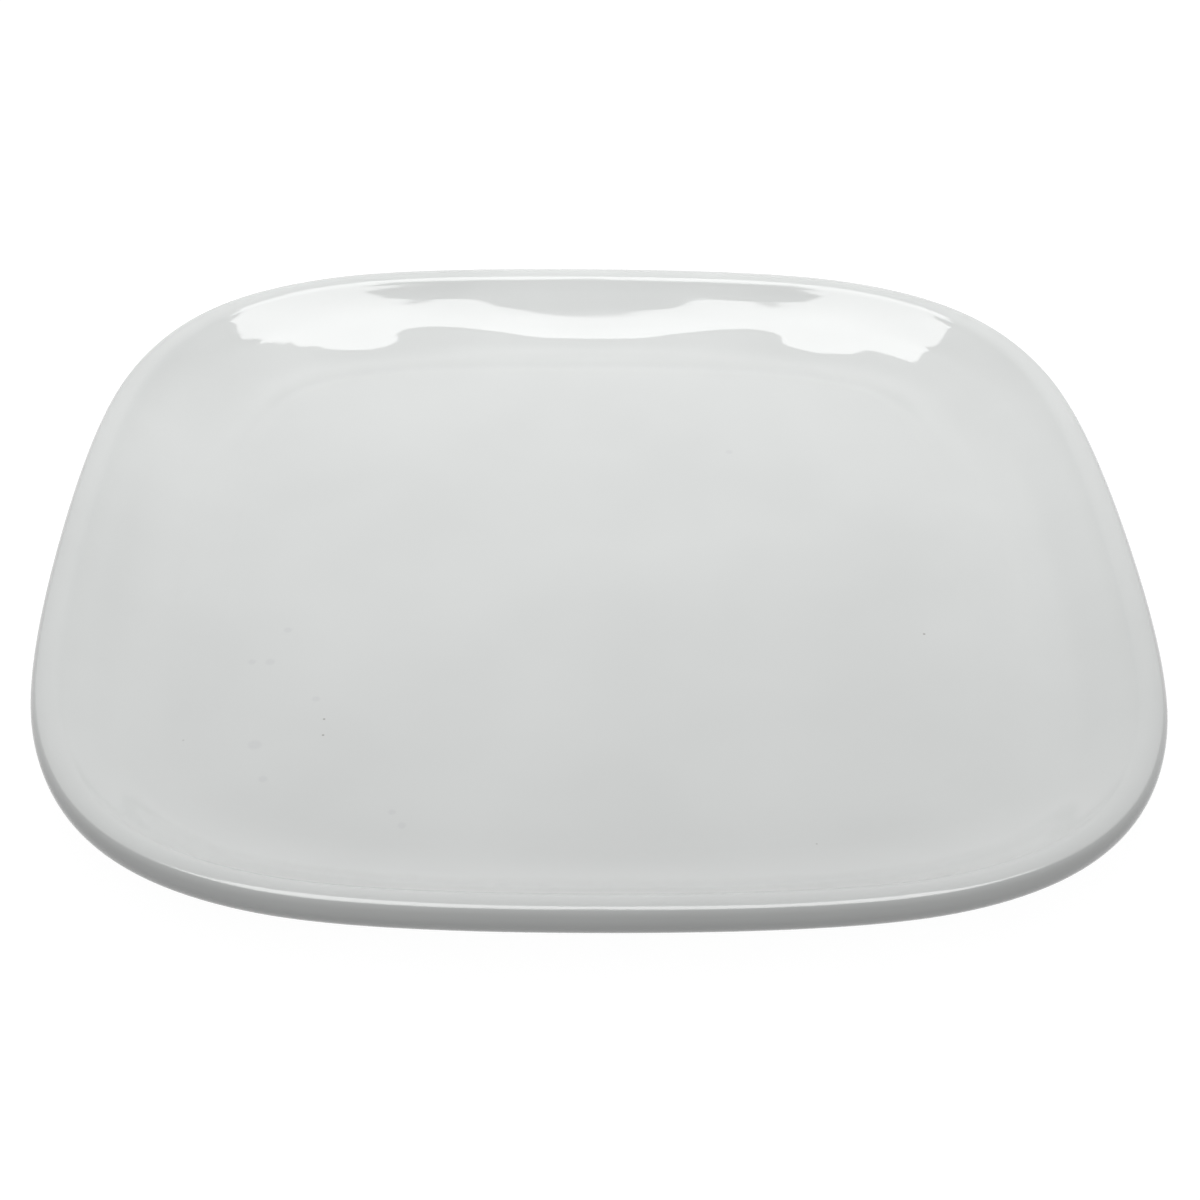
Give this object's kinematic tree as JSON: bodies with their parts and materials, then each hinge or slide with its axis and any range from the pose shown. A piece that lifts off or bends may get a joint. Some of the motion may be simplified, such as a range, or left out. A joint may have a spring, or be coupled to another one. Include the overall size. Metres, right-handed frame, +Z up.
{
  "type": "dinner plate",
  "caption": "Rounded square dinner plate in white glazed porcelain, with a rounded lip, a shallow curved wall, a flat eating face and a foot ring.",
  "frame": {"origin": "middle of the plate, on the table top that the foot ring stands on", "axes": "+Z up out of the eating face, X and Y through the middles of the sides"},
  "size_m": [0.27, 0.27, 0.02],
  "materials": {
    "bisque_porcelain": "bare fired porcelain, matt, showing only on the standing edge of the foot ring",
    "white_glaze": "white gloss glaze, smooth and slightly uneven, with a few pinholes and specks"
  },
  "bodies": {
    "root": {"porcelain_body": "bisque_porcelain", "face_glaze": "white_glaze", "base_glaze": "white_glaze"}
  },
  "joints": []
}
